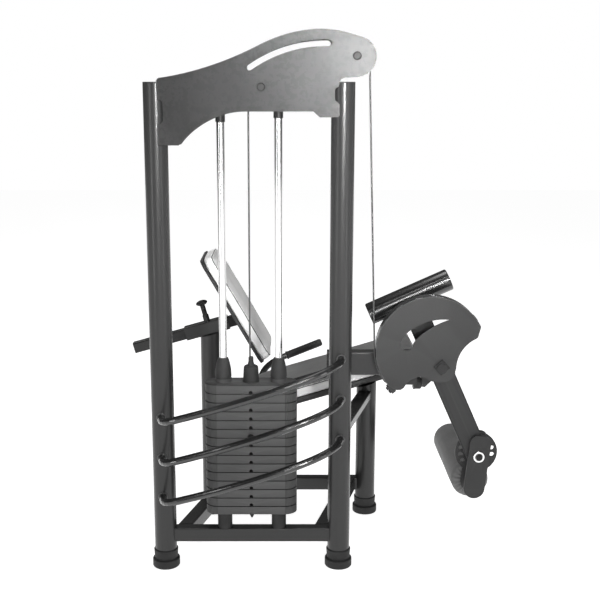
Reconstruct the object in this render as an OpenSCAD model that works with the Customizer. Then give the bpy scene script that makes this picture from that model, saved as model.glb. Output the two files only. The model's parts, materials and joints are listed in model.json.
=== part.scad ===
// Seated leg extension machine with a weight tower beside the seat.
// Millimetres, +Z up. The tower faces -Y, the seat is behind it, and the sitter faces +X.
// Coordinates inside the modules are measured from the floor midway between the two uprights;
// stand() then moves the origin to the middle of the machine's footprint.

/* [Tower] */
// Outside diameter of the uprights and rear posts
post_d = 76.2; // [76:0.1:76.4]
// Wall thickness of all the tubes
tube_wall = 3; // [2:0.5:3.5]
// Distance between the centres of the two uprights
upright_span = 600; // [598:1:602]
// Height of the uprights above the floor
upright_h = 1650; // [1645:1:1655]
// Thickness of each crown plate
crown_t = 5; // [4:0.5:6]

/* [Base] */
// Distance from the uprights back to the rear posts
rear_y = 467; // [460:1:475]
// Sideways place of the rear left post
rear_post_x = -170; // [-174:1:-166]
// Sideways place of the rear right leg
rear_leg_x = 428; // [424:1:434]
// Bottom of the base rails
rail_z = 92; // [88:1:96]
// Height of the base rails
rail_h = 50; // [48:1:50]
// Depth of the front and back rails
rail_w = 40; // [36:1:40]
// Width of the side rails and of the upper brace
side_rail_w = 50; // [46:1:50]
// Distance from the posts to the side rails, along the front and back rails
rail_inset = 61; // [58:1:64]
// Top face of the upper brace
brace_top_z = 500; // [495:1:503]
// Height of the upper brace
brace_h = 30; // [25:1:35]
// Outside diameter of a foot cup
foot_d = 94; // [92:1:98]
// Height of a foot cup
foot_h = 65; // [60:1:68]

/* [Weight stack] */
// Number of plates, the top plate included
plate_count = 15; // [15]
// Number of plates above the selector pin, below the top plate
lifted_count = 5; // [2:1:8]
// Width of a plate
plate_w = 310; // [304:1:314]
// Depth of a plate
plate_d = 100; // [96:1:104]
// Distance from one plate's underside to the next
plate_pitch = 30.6; // [30.4:0.1:30.8]
// Distance of each guide rod from the middle of the stack
rod_x = 93; // [91:1:95]
// Diameter of the guide rods
rod_d = 25.4; // [25:0.1:25.4]
// Height of the rubber bumpers under the stack
bumper_h = 63; // [60:1:66]

/* [Cable and cam] */
// Diameter of the cable over its sheath
cable_d = 6; // [5:0.5:6]
// Radius of the cable's centreline round a pulley
pulley_pitch_r = 42; // [41:0.5:43]
// Outside radius of the cam
cam_r = 183; // [182:0.5:186]
// Width of the cam's rim
cam_w = 50; // [48:1:52]
// Sideways place of the lever's pivot
pivot_x = 637; // [635:1:639]
// Height of the lever's pivot
pivot_z = 716; // [714:1:718]

/* [Lever] */
// Angle of the lever from vertical at rest, its foot towards the front
lever_tilt = 24.2; // [23.6:0.1:24.6]
// Width of the lever bar, seen from the side
lever_w = 80; // [78:1:82]
// Thickness of the lever bar
lever_t = 40; // [38:1:40]
// Distance from the pivot down to the adjusting disc
lever_len = 390; // [385:1:395]
// Radius of the adjusting disc
disc_r = 75; // [73:1:77]
// Radius of the foam roller
roller_r = 69; // [65:1:71]
// Length of the foam roller
roller_len = 460; // [440:5:470]
// Length of the counterweight
weight_len = 300; // [290:5:310]

/* [Seat and backrest] */
// Rise of the seat towards its front, in degrees
seat_tilt = 16.6; // [16:0.1:17]
// Width of the seat
seat_w = 370; // [360:5:380]
// Length of the seat
seat_len = 655; // [640:5:665]
// Lean of the backrest from vertical, in degrees
back_tilt = 30; // [29:0.5:31]
// Width of the backrest
back_w = 276; // [270:1:284]
// Length of the backrest
back_len = 452; // [440:1:460]
// Rise of the slide tube towards the backrest, in degrees
slide_tilt = 15.7; // [15:0.1:16]

/* [Hidden] */
$fn = 64;

// Colours
coat = "#3b3b3d";
dark_coat = "#2a2a2b";
iron = "#343436";
chrome = "#d8d8da";
rubber = "#1d1d1e";
gloss_black = "#161617";
foam_grey = "#5c5c5e";
pad_light = "#d9d9d7";
board_dark = "#2f2f31";

// Posts
pivot = [pivot_x, pivot_z];
post_r = post_d / 2;
upright_x = upright_span / 2;
cap_t = 4;
cap_plug_h = 14;
cup_floor = 6;
corner_r = 5;

// Stack
stack_z = rail_z + rail_h + bumper_h;
stack_top = stack_z + plate_count * plate_pitch;
plate_corner_r = 42;
lip = 1.7;
groove_depth = 4;
notch_r = 6;
pin_r = 4.8;
pin_rise = 5;
stem_r = 11;
plate_bore_r = 13.8;
lifted_z = stack_top - (lifted_count + 1) * plate_pitch;

// Crown
crown_y = 34;
top_bar_z = upright_h - 88;
top_bar_h = 15;
centre_axle = [39, upright_h - 16];
nose_axle = [340, upright_h + 79];
axle_r = 8;
pulley_w = 24;
slot_w = 21;

// Cable
cable_r = cable_d / 2;
cable_x = centre_axle.x - pulley_pitch_r;
collar_h = 86;
span_angle = atan2(nose_axle.y - centre_axle.y, nose_axle.x - centre_axle.x);
cam_c = [pivot.x - 37, pivot.y + 59];
rim_t = 6;
rim_start = 26.6;
rim_end = 222;
drop_gap = norm(cam_c - nose_axle);
drop_angle = atan2(cam_c.y - nose_axle.y, cam_c.x - nose_axle.x)
    - asin((pulley_pitch_r + cam_r + cable_r) / drop_gap);
drop_side = [-sin(drop_angle), cos(drop_angle)];
drop_top = nose_axle + pulley_pitch_r * drop_side;
drop_foot = cam_c - (cam_r + cable_r) * drop_side;

// Cam and pivot
cam_plate_t = 6;
cam_front = -cam_w / 2;
cam_boss_end = 21;
cam_boss_r = 32;
collar_r = 22;
shaft_r = 15;
fit_gap = 0.05;
housing_r = 45;
clamp_y = cam_front - 8;
beam_y = post_r;
beam_w = 48;
beam_h = 80;
beam_z = pivot_z - 42;
stop_z = pivot_z - 94;
stop_x = 567;
stop_low = pivot_z - 82;
housing_y0 = 36;
housing_y1 = 90;
bearing_r = 26;
bearing_w = 16;

// Lever, link and roller
lever_y = 105;
weight_rise = 234;
weight_r = 38;
disc_t = 8;
disc_y = lever_y + lever_t;
hole_r = 8.5;
hole_ring_r = 57;
hole_step = 24.8;
hole_first = -9.4;
disc_c = pivot + lever_len * [sin(lever_tilt), -cos(lever_tilt)];
roller_back = 12;
roller_drop = 118;
roller_c = disc_c - [roller_back, roller_drop];
link_tilt = atan(roller_back / roller_drop);
link_w = 74;
link_t = 8;
link_front_y = 93;
link_rear_y = 157;
roller_y = 172;
roller_axle_r = 12.5;

// Seat and backrest
seat_origin = [112, rear_y, 546];
seat_rear = -138;
pad_t = 43;
board_t = 10;
seat_beam_h = 60;
seat_beam_w = 40;
slide_origin = [rear_post_x, rear_y, 745];
sleeve_w = 50;
slide_w = 40;
slide_left = -302;
slide_pin_x = -6;
slide_pin_r = 4.8;
slide_gap = 0.5;
back_origin = [-49, rear_y, 760.5];
back_board_t = 10;
back_pad_t = 43;
back_below = -154;
bracket_t = 6;

// Handles, mirrored about the middle of the seat
handle_r = 12.5;
grip_r = 15;
grip_rear = [120, 211, 576];
grip_front = [259, 235, 626];

// Guard rails
guard_r = 12.5;
guard_z = [[266, 470], [406, 610], [548, 749]];

// Footprint, from the slide tube's end to the disc, and from the guard rails to the far handle
x_low = slide_origin.x + slide_left * cos(slide_tilt) - slide_w / 2 * sin(slide_tilt);
x_high = disc_c.x + disc_r;
y_low = -164 - guard_r;
y_high = rear_y + grip_front.y + grip_r;
mid_x = (x_low + x_high) / 2;
mid_y = (y_low + y_high) / 2;

// ---- Shared shapes ----

module stand() translate([-mid_x, -mid_y, 0]) children();

// Points of a circular arc, both ends included
function arc(c, r, a0, a1, n) = [
    for (i = [0:n]) let (a = a0 + (a1 - a0) * i / n) c + r * [cos(a), sin(a)]
];

// Points of a cubic curve from a to d, pulled towards b and then c
function curve(a, b, c, d, n) = [
    for (i = [0:n]) let (t = i / n, s = 1 - t)
        s * s * s * a + 3 * s * s * t * b + 3 * s * t * t * c + t * t * t * d
];

function unit(v) = v / norm(v);
function heading(p, i) = unit(p[min(i + 1, len(p) - 1)] - p[max(i - 1, 0)]);

// Sideways direction at point i, carried along the path without twist
function side_at(p, i) =
    i == 0 ? unit(cross(heading(p, 0), [0.1, 0.2, 1]))
    : let (s = side_at(p, i - 1), h = heading(p, i)) unit(s - h * (s * h));

// Round bar swept along a list of points
module swept_bar(p, r, sides = 20) {
    n = len(p);
    points = [
        for (i = [0:n - 1]) let (s = side_at(p, i), u = cross(heading(p, i), s))
            for (k = [0:sides - 1]) p[i] + r * (cos(360 * k / sides) * s + sin(360 * k / sides) * u)
    ];
    walls = [
        for (i = [0:n - 2]) for (k = [0:sides - 1]) let (m = (k + 1) % sides)
            [i * sides + k, (i + 1) * sides + k, (i + 1) * sides + m, i * sides + m]
    ];
    ends = [[for (k = [0:sides - 1]) k], [for (k = [sides - 1:-1:0]) (n - 1) * sides + k]];
    polyhedron(points, concat(walls, ends), convexity = 6);
}

// Flat outline of the XZ plane, thickened backwards from y0 to y1
module upright_sheet(y0, y1) translate([0, y1, 0]) rotate([90, 0, 0]) linear_extrude(y1 - y0) children();

// Round bar along Y, at a place in the XZ plane
module cross_bar(c, r, y0, y1) translate([c.x, y0, c.y]) rotate([-90, 0, 0]) cylinder(r = r, h = y1 - y0);

// Solid of revolution about an axis along Y; the profile is [radius, y]
module cross_turned(c) translate([c.x, 0, c.y]) rotate([-90, 0, 0]) rotate_extrude() children();

module rounded(w, h, r) {
    square([w - 2 * r, h], center = true);
    square([w, h - 2 * r], center = true);
    for (i = [-1, 1]) for (j = [-1, 1]) translate([i * (w / 2 - r), j * (h / 2 - r)]) circle(r);
}

module hollow_section(w, h) difference() {
    rounded(w, h, corner_r);
    rounded(w - 2 * tube_wall, h - 2 * tube_wall, corner_r - tube_wall + 0.5);
}

// Rectangular tube along X from x0 to x1, centred on the X axis; w is along Y, h along Z
module box_tube(x0, x1, w, h) translate([x0, 0, 0]) rotate([90, 0, 90]) linear_extrude(x1 - x0)
    hollow_section(w, h);

// Solid core of a post, for coping the tubes that meet it
module post_core(x, y) translate([x, y, 0]) cylinder(r = post_r, h = upright_h);

module post_tube(x, y, z1) translate([x, y, cup_floor]) difference() {
    cylinder(r = post_r, h = z1 - cup_floor);
    translate([0, 0, -1]) cylinder(r = post_r - tube_wall, h = z1 - cup_floor + 2);
}

// Rail between two posts in plan, its ends coped to fit them
module base_rail(a, b, w, h, z) difference() {
    translate([a.x, a.y, z + h / 2]) rotate([0, 0, atan2(b.y - a.y, b.x - a.x)]) box_tube(0, norm(b - a), w, h);
    post_core(a.x, a.y);
    post_core(b.x, b.y);
}

left_foot = [-upright_x, 0];
right_foot = [upright_x, 0];
post_foot = [rear_post_x, rear_y];
leg_foot = [rear_leg_x, rear_y];

// ---- Frame ----

module upright(side) color(coat) post_tube(side * upright_x, 0, upright_h - cap_t);

module upright_caps() color(rubber) for (side = [-1, 1]) translate([side * upright_x, 0, upright_h]) {
    translate([0, 0, -cap_t]) cylinder(r = post_r, h = cap_t);
    translate([0, 0, -cap_t - cap_plug_h]) cylinder(r = post_r - tube_wall - 0.1, h = cap_plug_h);
}

module rear_post() color(coat) difference() {
    post_tube(rear_post_x, rear_y, slide_origin.z);
    in_slide() translate([-200, -60, -sleeve_w / 2]) cube([400, 120, 200]);
}

module rear_leg() color(coat) difference() {
    post_tube(rear_leg_x, rear_y, brace_top_z + 60);
    in_seat() translate([0, -60, -pad_t - board_t - seat_beam_h]) cube([500, 120, 200]);
}

module front_rail() color(coat) base_rail(left_foot, right_foot, rail_w, rail_h, rail_z);

module back_rail() color(coat) base_rail(post_foot, leg_foot, rail_w, rail_h, rail_z);

// Rail from the front rail's rear face to the back rail's front face
module side_rail(a, b) difference() {
    translate([a.x, a.y, rail_z + rail_h / 2]) rotate([0, 0, atan2(b.y - a.y, b.x - a.x)])
        box_tube(0, norm(b - a), side_rail_w, rail_h);
    for (y = [rail_w / 2 - upright_span, rear_y - rail_w / 2])
        translate([-upright_span, y, rail_z - 1]) cube([2 * upright_span, upright_span, rail_h + 2]);
}

// Both side rails, cut clear of the posts they pass
module side_rails() color(coat) difference() {
    union() {
        side_rail(left_foot + [rail_inset, 0], post_foot + [rail_inset, 0]);
        side_rail(right_foot - [rail_inset, 0], leg_foot - [rail_inset, 0]);
    }
    for (p = [left_foot, right_foot, post_foot, leg_foot]) post_core(p.x, p.y);
}

module upper_brace() color(coat) base_rail(right_foot, leg_foot, side_rail_w, brace_h, brace_top_z - brace_h);

// Two-tier rubber cup with a rounded shoulder on each tier
module foot_cups() color(rubber) for (p = [left_foot, right_foot, post_foot, leg_foot])
    translate([p.x, p.y, 0]) rotate_extrude() polygon(concat(
        [[0, 0], [foot_d / 2 - 2, 0], [foot_d / 2, 3]],
        arc([foot_d / 2 - 5, 25], 5, 0, 90, 4),
        [[foot_d / 2 - 7, 32]],
        arc([foot_d / 2 - 9, foot_h - 4], 4, 0, 90, 4),
        [[post_r + 0.2, foot_h], [post_r + 0.2, cup_floor], [0, cup_floor]]
    ));

// Crown plate outline, measured from the top of the uprights
crown_outline = concat(
    curve([-282, 12], [-190, 24], [-80, 56], [23, 107], 14),
    curve([23, 107], [80, 136], [150, 161], [229, 161], 12),
    curve([229, 161], [275, 161], [325, 147], [362, 134], 8),
    arc([340, 77], 61, 66, -90, 24),
    [[308, 14], [291, 8], [284, -4]],
    [[284, -16], [277, -18], [272, -24], [272, -57], [277, -63], [284, -65]],
    [[284, -110], [225, -110], [205, -92]],
    curve([-12, -92], [-100, -92], [-185, -145], [-223, -198], 14),
    [[-288, -198], [-288, -132], [-278, -130], [-272, -122], [-272, -64], [-278, -56], [-288, -54], [-288, 8]]
);
crown_slot = curve([3, 45], [70, 90], [150, 120], [250, 119], 16);

// Outline of a slot of width w along a list of points, with round ends
function slot_outline(p, w) = let (
    n = len(p),
    across = [for (i = [0:n - 1]) let (d = heading(p, i)) [-d.y, d.x] * w / 2],
    first = atan2(across[0].y, across[0].x),
    last = atan2(across[n - 1].y, across[n - 1].x)
) concat(
    [for (i = [0:n - 1]) p[i] + across[i]],
    [for (i = [1:7]) p[n - 1] + w / 2 * [cos(last - 22.5 * i), sin(last - 22.5 * i)]],
    [for (i = [n - 1:-1:0]) p[i] - across[i]],
    [for (i = [1:7]) p[0] - w / 2 * [cos(first - 22.5 * i), sin(first - 22.5 * i)]]
);

module crown_plate(y0) color(coat) difference() {
    upright_sheet(y0, y0 + crown_t) difference() {
        translate([0, upright_h]) difference() {
            polygon(crown_outline);
            polygon(slot_outline(crown_slot, slot_w));
        }
        for (c = [centre_axle, nose_axle]) translate(c) circle(axle_r + fit_gap);
    }
    for (side = [-1, 1]) translate([side * upright_x, 0, upright_h / 2]) cylinder(r = post_r, h = upright_h);
}

module rod_top_bar() color(coat) difference() {
    translate([-upright_x, -25, top_bar_z]) cube([upright_span, 50, top_bar_h]);
    for (side = [-1, 1]) translate([side * rod_x, 0, top_bar_z - 1]) cylinder(r = rod_d / 2 + fit_gap, h = 20);
    translate([cable_x, 0, top_bar_z - 1]) cylinder(r = 7, h = 20);
    for (side = [-1, 1]) post_core(side * upright_x, 0);
}

// Guard rail i: a tight bend out of the left upright, a forward bow, and a wide sweep into the right one
function guard_plan() = concat(
    curve([-300, -post_r], [-300, -84], [-290, -112], [-240, -124], 8),
    [for (p = curve([-240, -124], [-140, -148], [-40, -164], [60, -163], 10)) if (p.x > -239) p],
    [for (p = curve([60, -163], [190, -160], [292, -136], [300, -post_r - 6], 14)) if (p.x > 61) p],
    [[300, -post_r]]
);
module guard_rail(i) color(dark_coat) swept_bar(
    [for (p = guard_plan()) [p.x, p.y, guard_z[i][0] + (guard_z[i][1] - guard_z[i][0]) * (p.x + 300) / 600]],
    guard_r
);

// ---- Weight stack ----

module guide_rods() color(chrome) for (side = [-1, 1])
    translate([side * rod_x, 0, rail_z + rail_h])
        cylinder(r = rod_d / 2, h = top_bar_z + top_bar_h - rail_z - rail_h);

module rod_collars() color(rubber) for (c = [[-rod_x, 37], [rod_x, 25]])
    translate([c.x, 0, top_bar_z - c.y]) difference() {
        cylinder(r = 15.5, h = c.y);
        translate([0, 0, -1]) cylinder(r = rod_d / 2 + fit_gap, h = c.y + 2);
    }

module bumpers() color(rubber) for (side = [-1, 1]) translate([side * rod_x, 0, rail_z + rail_h])
    rotate_extrude() polygon(concat(
        [[rod_d / 2 + 0.3, 0], [24, 0], [25, 2]],
        [[25, bumper_h - 5]],
        arc([22, bumper_h - 3], 3, 0, 90, 3),
        [[rod_d / 2 + 0.3, bumper_h]]
    ));

module plate_outline(inset) {
    w = plate_w - 2 * inset;
    d = plate_d - 2 * inset;
    r = plate_corner_r - inset;
    rounded(w, d, r);
}

// One plate: thin lips top and bottom leave a groove between neighbours
module weight_plate(z, centre_r) translate([0, 0, z]) difference() {
    union() {
        linear_extrude(plate_pitch) plate_outline(groove_depth);
        translate([0, 0, lip]) linear_extrude(plate_pitch - 2 * lip) plate_outline(0);
    }
    for (side = [-1, 1]) translate([side * rod_x, 0, -1]) cylinder(r = plate_bore_r, h = plate_pitch + 2);
    translate([0, 0, -1]) cylinder(r = centre_r, h = plate_pitch + 2);
    cross_bar([0, pin_rise], notch_r, -plate_d, 0);
    translate([-notch_r, -plate_d, -1]) cube([2 * notch_r, plate_d, pin_rise + 1]);
}

module top_plate() color(iron) weight_plate(stack_top - plate_pitch, stem_r + fit_gap);

module lifted_plates() color(iron) for (i = [0:lifted_count - 1])
    weight_plate(lifted_z + i * plate_pitch, stem_r + 2);

module resting_plates() color(iron) for (i = [0:plate_count - lifted_count - 2])
    weight_plate(stack_z + i * plate_pitch, stem_r + 2);

module selector_stem() color(iron) difference() {
    union() {
        translate([0, 0, stack_z - 12]) cylinder(r = stem_r, h = stack_top - stack_z + 12);
        translate([0, 0, stack_z - 30]) cylinder(r1 = 3, r2 = stem_r, h = 18);
    }
    for (i = [0:plate_count - 1]) cross_bar([0, stack_z + i * plate_pitch + pin_rise], pin_r + 0.4, -20, 20);
}

module selector_pin() color(gloss_black) cross_turned([0, lifted_z + pin_rise]) polygon([
    [0, -plate_d / 2 - 30], [8, -plate_d / 2 - 30], [11, -plate_d / 2 - 27], [11, -plate_d / 2 - 9],
    [8, -plate_d / 2 - 5], [pin_r, -plate_d / 2 - 5], [pin_r, 10], [pin_r - 2, 12.4], [0, 12.4]
]);

// Collar on the top plate, with the cable's terminal standing in it
module cable_collar() color(iron) translate([0, 0, stack_top]) rotate_extrude() polygon([
    [0, 0], [28, 0], [28, 4], [27, 6], [24.5, 51], [21, 55], [14, 55], [10.5, 62], [8.5, 70], [8.5, collar_h - 3],
    [7, collar_h], [0, collar_h]
]);

module rod_bushings() color(iron) for (side = [-1, 1]) translate([side * rod_x, 0, stack_top])
    rotate_extrude() polygon(concat(
        [[rod_d / 2 + 0.3, 0], [27.5, 0], [27.5, 14], [26.2, 15], [26.2, 18], [27.5, 19]],
        curve([27.5, 22], [27.5, 45], [22, 70], [17, 82], 8),
        [[rod_d / 2 + 0.3, 84]]
    ));

// ---- Pulleys and cable ----

module pulley(c) color(rubber) cross_turned(c) difference() {
    polygon([
        [axle_r + fit_gap, -pulley_w / 2], [18, -pulley_w / 2], [20, -9], [34, -9], [36, -11], [47.5, -11],
        [47.5, 11], [36, 11], [34, 9], [20, 9], [18, pulley_w / 2], [axle_r + fit_gap, pulley_w / 2]
    ]);
    translate([pulley_pitch_r, 0]) circle(cable_r + 0.5);
    polygon([
        [pulley_pitch_r, -cable_r - 0.5], [48, -cable_r - 3], [48, cable_r + 3], [pulley_pitch_r, cable_r + 0.5]
    ]);
}

// Axle bolt with its spacers, front cap and rear nut
module pulley_axles() color(gloss_black) for (c = [centre_axle, nose_axle]) cross_turned(c) polygon([
    [0, -47], [10, -47], [13, -44], [13, -39], [axle_r, -39], [axle_r, -34], [12, -34], [12, -12.4],
    [axle_r, -12.4], [axle_r, 12.4], [12, 12.4], [12, 34], [axle_r, 34], [axle_r, 39], [13, 39], [13, 46],
    [11, 48], [0, 48]
]);

// Straight length of cable between two places in the XZ plane
module cable_line(a, b) translate([a.x, 0, a.y]) rotate([0, 90 - atan2(b.y - a.y, b.x - a.x), 0])
    cylinder(r = cable_r, h = norm(b - a));

// Bent length of cable round a centre in the XZ plane
module cable_bend(c, r, a0, a1) translate([c.x, 0, c.y]) rotate([90, 0, 0]) rotate([0, 0, a0])
    rotate_extrude(angle = a1 - a0) translate([r, 0]) circle(cable_r);

module stack_cable() color(dark_coat)
    cable_line([cable_x, stack_top + collar_h], [cable_x, centre_axle.y]);

module upper_cable() color(dark_coat) {
    route = concat(
        arc(centre_axle, pulley_pitch_r, 180, 90 + span_angle, 10),
        arc(nose_axle, pulley_pitch_r, 90 + span_angle, drop_angle + 90, 14),
        [drop_foot]
    );
    swept_bar([for (p = route) [p.x, 0, p.y]], cable_r, 12);
}

module rim_cable() color(dark_coat) cable_bend(cam_c, cam_r + cable_r, drop_angle + 270, rim_end - 4);

module cable_clamp() color(coat) translate([cam_c.x, 0, cam_c.y]) rotate([0, -rim_end, 0]) {
    translate([cam_r - rim_t, -14, 0]) cube([16, 28, 30]);
    for (z = [8, 22]) translate([cam_r - rim_t + 16, 0, z]) rotate([0, 90, 0]) cylinder(r = 6.5, h = 6, $fn = 6);
}

// ---- Cam, pivot and lever ----

cam_outline = concat(
    arc(cam_c, cam_r, rim_start, rim_end, 60),
    [[478, 643], [490, 640], [503, 641], [512, 648], [520, 661], [533, 674]],
    [[545, 680], [560, 686], [580, 682], [606, 670]],
    arc(pivot, 50, -112, -22, 10),
    [[683, 704]],
    arc([798, 716], 112, 180, 116, 14),
    [[755, 822]]
);

cam_window = concat(
    curve([500, 806], [513, 850], [590, 890], [660, 881], 14),
    curve([660, 881], [600, 862], [552, 826], [539, 796], 14)
);

module cam_plate() color(coat) upright_sheet(cam_front, cam_front + cam_plate_t) difference() {
    polygon(cam_outline);
    polygon(cam_window);
    translate([519, 798]) circle(21);
    translate(pivot) circle(shaft_r + fit_gap);
}

// Band behind the plate's edge, where the cable lies
module cam_rim() color(coat) upright_sheet(cam_front + cam_plate_t, cam_w / 2) translate(cam_c) difference() {
    circle(cam_r, $fn = 180);
    circle(cam_r - rim_t, $fn = 180);
    polygon(concat([[0, 0]], arc([0, 0], 2 * cam_r, rim_end, rim_start + 360, 8)));
}

module cam_boss() color(coat) cross_turned(pivot) polygon([
    [shaft_r + fit_gap, cam_front + cam_plate_t], [cam_boss_r, cam_front + cam_plate_t],
    [cam_boss_r, cam_boss_end], [shaft_r + fit_gap, cam_boss_end]
]);

// Beam behind the right upright, with the bracket that holds the lever's stop
module pivot_beam() color(coat) difference() {
    union() {
        translate([0, beam_y + beam_w / 2, beam_z + beam_h / 2])
            box_tube(upright_x - 42, pivot.x, beam_w, beam_h);
        translate([stop_x - 46, 60, stop_low]) cube([46, 26, beam_z - stop_low]);
        translate([stop_x - 46, 60, stop_low]) cube([46, 85, 24]);
        translate([stop_x - 6, lever_y + 3, stop_z - 18]) cube([6, lever_t - 6, 54]);
    }
    cross_bar(pivot, housing_r, 0, 160);
}

module bearing_housing() color(coat) cross_turned(pivot) polygon([
    [bearing_r, housing_y0], [housing_r - 2, housing_y0], [housing_r, housing_y0 + 2],
    [housing_r, housing_y1 - 2], [housing_r - 2, housing_y1], [bearing_r, housing_y1]
]);

module pivot_bearings() color(chrome) for (y = [housing_y0, housing_y1 - bearing_w]) cross_turned(pivot) polygon([
    [shaft_r + fit_gap, y], [bearing_r - fit_gap, y], [bearing_r - fit_gap, y + bearing_w],
    [shaft_r + fit_gap, y + bearing_w]
]);

module pivot_shaft() color(chrome) cross_turned(pivot) polygon([
    [0, clamp_y], [shaft_r, clamp_y], [shaft_r, cam_boss_end], [collar_r, cam_boss_end],
    [collar_r, housing_y0 - 0.4], [shaft_r, housing_y0 - 0.4], [shaft_r, housing_y1 + 0.4],
    [collar_r, housing_y1 + 0.4], [collar_r, lever_y],
    [shaft_r, lever_y], [shaft_r, lever_y + lever_t + 4], [shaft_r - 2, lever_y + lever_t + 6],
    [0, lever_y + lever_t + 6]
]);

// Block bolted over the shaft's front end
module hub_clamp() color(coat) difference() {
    translate([pivot.x, 0, pivot.y]) rotate([0, 48, 0]) {
        translate([-22, clamp_y, -17]) cube([38, cam_front - clamp_y, 39]);
        translate([0, clamp_y - 5, 0]) rotate([-90, 0, 0]) cylinder(r = 17, h = cam_front - clamp_y + 5);
    }
    cross_bar(pivot, shaft_r + fit_gap, clamp_y, 0);
}

module stop_bumper() color(rubber) translate([stop_x, lever_y + lever_t / 2, stop_z]) rotate([0, 90, 0])
    rotate_extrude() polygon([[0, 0], [20, 0], [21, 2], [21, 20], [17, 24], [0, 24]]);

// The lever's own frame: the pivot at the origin, the disc straight below it
module in_lever() translate([pivot.x, 0, pivot.y]) rotate([0, -lever_tilt, 0]) children();

module lever_bar() color(coat) difference() {
    union() {
        in_lever() translate([0, lever_y + lever_t / 2, 0]) rotate([0, 90, 0])
            box_tube_end(-weight_rise, lever_len);
        upright_sheet(lever_y + 6, lever_y + lever_t - 6)
            polygon([
                [591.4, 612], [602, 610], [626, 634], [644, 640], [632, 662], [600, 662], [591.4, 650]
            ]);
    }
    in_lever() translate([-60, lever_y + lever_t / 2, weight_rise]) rotate([0, 90, 0])
        cylinder(r = weight_r, h = 120);
    cross_bar(pivot, shaft_r + fit_gap, 0, 200);
    cross_bar(disc_c, axle_r + fit_gap, 0, 200);
}

// Lever tube with a half-round lower end
module box_tube_end(x0, x1) {
    box_tube(x0, x1, lever_t, lever_w);
    translate([x1, lever_t / 2, 0]) rotate([90, 0, 0]) intersection() {
        cylinder(r = lever_w / 2, h = lever_t);
        translate([0, -lever_w, 0]) cube([lever_w, 2 * lever_w, lever_t]);
    }
}

module counterweight() color(gloss_black) in_lever() translate([-weight_len / 2, lever_y + lever_t / 2, weight_rise])
    rotate([0, 90, 0]) rotate_extrude() polygon([
        [0, 0], [weight_r - 3, 0], [weight_r, 3], [weight_r, weight_len - 3], [weight_r - 3, weight_len],
        [0, weight_len]
    ]);

module adjust_disc() color(coat) upright_sheet(disc_y, disc_y + disc_t) translate(disc_c) difference() {
    circle(disc_r);
    circle(axle_r + fit_gap);
    for (i = [0:9]) rotate(hole_first + i * hole_step) translate([hole_ring_r, 0]) circle(hole_r);
}

// ---- Leg roller ----

module link_outline() translate(roller_c) rotate(-link_tilt) {
    circle(link_w / 2);
    translate([-link_w / 2, 0]) square([link_w, 168]);
    for (side = [-1, 1]) translate([side * (link_w / 2 - 27), 168]) circle(27);
    translate([27 - link_w / 2, 168]) square([link_w - 54, 27]);
}

module link_plates() color(coat) for (y = [link_front_y, link_rear_y]) upright_sheet(y, y + link_t) difference() {
    link_outline();
    translate(disc_c) circle(axle_r + fit_gap);
    if (y == link_rear_y) translate(roller_c) circle(roller_axle_r + fit_gap);
    if (y == link_rear_y) translate(disc_c + [0, hole_ring_r]) circle(5.3);
}

// Bolt through the disc, with a ring under its head
module link_bolt() color(chrome) {
    cross_turned(disc_c) polygon([
        [0, 85], [11, 85], [13, 87], [13, link_front_y], [axle_r, link_front_y], [axle_r, 101], [16, 101],
        [16, 104.7], [axle_r, 104.7], [axle_r, disc_y + disc_t + 0.3], [16, disc_y + disc_t + 0.3],
        [16, link_rear_y], [axle_r, link_rear_y], [axle_r, 165], [12, 165], [12, 171], [0, 171]
    ]);
    cross_turned(disc_c) polygon([[14, 88], [19, 88], [20, 89.5], [20, link_front_y], [14, link_front_y]]);
}

module roller_axle() color(chrome) cross_turned(roller_c) polygon([
    [0, link_front_y + link_t], [roller_axle_r, link_front_y + link_t],
    [roller_axle_r, roller_y + roller_len + 1], [24, roller_y + roller_len + 1],
    [26, roller_y + roller_len + 3], [26, roller_y + roller_len + 6], [22, roller_y + roller_len + 8],
    [0, roller_y + roller_len + 8]
]);

module roller_foam() color(foam_grey) cross_turned(roller_c) polygon(concat(
    [[roller_axle_r + 0.5, roller_y], [roller_r - 14, roller_y]],
    arc([roller_r - 14, roller_y + 14], 14, -90, 0, 6),
    arc([roller_r - 14, roller_y + roller_len - 14], 14, 0, 90, 6),
    [[roller_axle_r + 0.5, roller_y + roller_len]]
));

// Pull pin behind the rear link plate, drawn back from the disc
module link_pin() color(gloss_black) cross_turned(disc_c + [0, hole_ring_r]) polygon([
    [0, disc_y + disc_t + 0.5], [5, disc_y + disc_t + 0.5], [5, 174], [10, 174], [10, 190], [6, 192], [6, 197],
    [15, 199], [17, 203], [17, 214], [14, 218], [0, 218]
]);

// ---- Seat ----

// The seat's own frame: X runs up the seat, the pad's top face is at z = 0
module in_seat() translate(seat_origin) rotate([0, -seat_tilt, 0]) children();

module seat_layer(x0, x1, z0, t, w, r) in_seat() translate([(x0 + x1) / 2, 0, z0]) linear_extrude(t)
    rounded(x1 - x0, w, r);

module seat_beam() color(coat) difference() {
    in_seat() translate([0, 0, -pad_t - board_t - seat_beam_h / 2]) box_tube(-300, 440, seat_beam_w, seat_beam_h);
    post_core(rear_post_x, rear_y);
    translate([rear_post_x - 80, rear_y - 60, 200]) cube([80, 120, 400]);
}

module seat_board() color(board_dark)
    seat_layer(seat_rear + 4, seat_rear + seat_len - 14, -pad_t - board_t, board_t, seat_w - 8, 36);

module seat_pad() color(pad_light) seat_layer(seat_rear, seat_rear + seat_len, -pad_t, pad_t, seat_w, 40);

// ---- Backrest on its slide ----

// The slide's own frame: X runs up the tube, above the rear post
module in_slide() translate(slide_origin) rotate([0, -slide_tilt, 0]) children();

// The backrest's own frame: Z runs up the board, and its rear face is at x = 0
module in_back() translate(back_origin) rotate([0, -back_tilt, 0]) children();

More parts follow.
